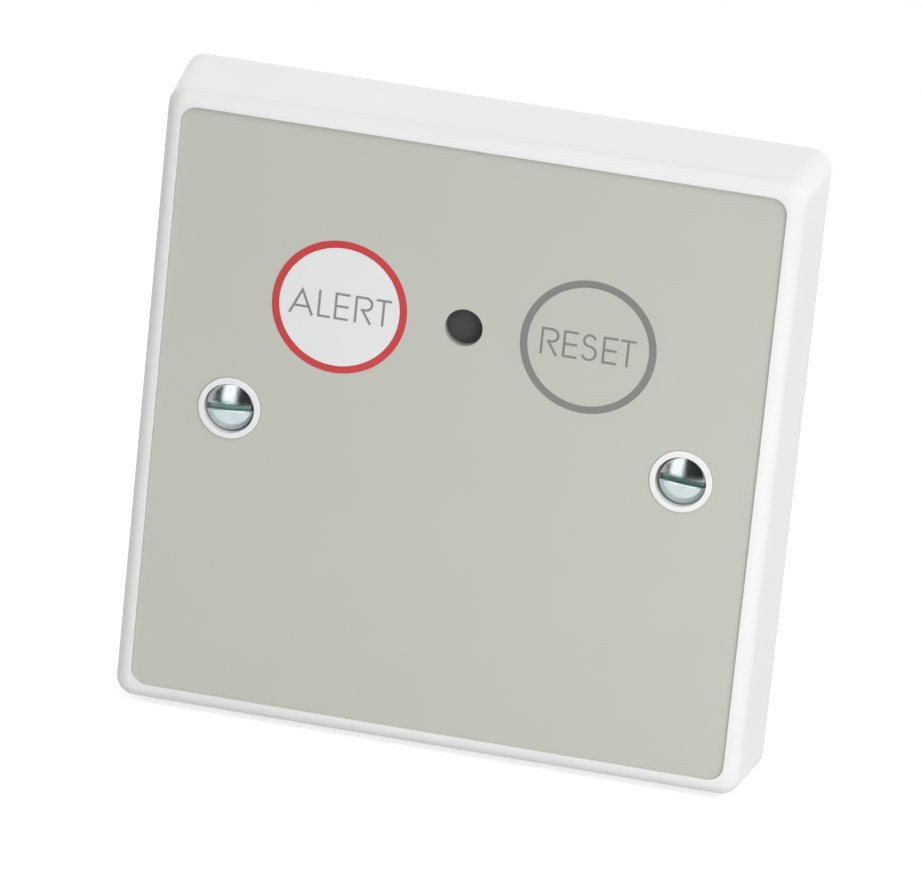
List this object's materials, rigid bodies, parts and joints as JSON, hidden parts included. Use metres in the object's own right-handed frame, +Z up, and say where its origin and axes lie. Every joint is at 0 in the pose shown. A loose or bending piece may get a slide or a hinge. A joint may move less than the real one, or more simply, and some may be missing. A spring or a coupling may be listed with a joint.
{
  "type": "nurse call button",
  "caption": "Square wall plate with a printed film over an alert key and a reset key, a sound port between them, domed fixing screws, and a board with cable terminals behind.",
  "frame": {"origin": "centre of the plate's back rim, in the plane of the wall, midway between the fixing screws", "axes": "+Z up, +X right as seen from the front, +Y into the wall, so the face looks towards -Y"},
  "size_m": [0.086, 0.0264, 0.086],
  "materials": {
    "plate_plastic": "satin moulded white ABS",
    "film": "printed polyester film, satin",
    "key_white": "light-diffusing white moulding",
    "key_grey": "grey moulding",
    "screw_plate": "bright zinc plate on steel",
    "gauze": "black woven gauze",
    "sounder_black": "black moulded plastic",
    "brass_sheet": "rolled brass",
    "pin_tin": "tinned wire",
    "board_green": "solder-masked fibreglass",
    "board_screw_steel": "zinc-plated steel",
    "switch_black": "black moulded plastic",
    "switch_steel": "stamped steel sheet",
    "stem_plastic": "moulded plastic",
    "lamp_white": "white lamp case with a clear window",
    "block_plastic": "green moulded nylon",
    "chip_black": "moulded epoxy",
    "can_aluminium": "drawn aluminium",
    "foot_black": "black moulded plastic",
    "resistor_ceramic": "glazed ceramic with tinned ends"
  },
  "bodies": {
    "plate": {"faceplate": "plate_plastic", "overlay_film": "film", "fixing_screws": "screw_plate", "port_gauze": "gauze", "sounder_case": "sounder_black", "sounder_disc": "brass_sheet", "sounder_base": "sounder_black", "sounder_pins": "pin_tin", "circuit_board": "board_green", "board_screws": "board_screw_steel", "alert_lamp_upper": "lamp_white", "alert_lamp_lower": "lamp_white", "terminal_block": "block_plastic", "terminal_clamps": "brass_sheet", "terminal_screws": "board_screw_steel", "terminal_pins": "pin_tin", "control_chip": "chip_black", "control_chip_legs": "pin_tin", "capacitor_can": "can_aluminium", "capacitor_foot": "foot_black", "polarity_diode": "chip_black", "resistor_1": "resistor_ceramic", "resistor_2": "resistor_ceramic", "resistor_3": "resistor_ceramic", "resistor_4": "resistor_ceramic", "alert_switch_base": "switch_black", "alert_switch_dome": "switch_steel", "alert_switch_cover": "switch_steel", "alert_switch_legs": "pin_tin", "reset_switch_base": "switch_black", "reset_switch_dome": "switch_steel", "reset_switch_cover": "switch_steel", "reset_switch_legs": "pin_tin"},
    "alert_button": {"alert_key": "key_white", "alert_switch_stem": "stem_plastic"},
    "reset_button": {"reset_key": "key_grey", "reset_switch_stem": "stem_plastic"}
  },
  "joints": [
    {"name": "alert_press", "type": "slide", "parent": "plate", "child": "alert_button", "axis": [0, 1, 0], "range_m": [0, 0.0004], "stiffness_N_per_m": 2500, "springref_m": -0.0002, "deforming": ["alert_switch_dome"]},
    {"name": "reset_press", "type": "slide", "parent": "plate", "child": "reset_button", "axis": [0, 1, 0], "range_m": [0, 0.0004], "stiffness_N_per_m": 2500, "springref_m": -0.0002, "deforming": ["reset_switch_dome"]}
  ]
}
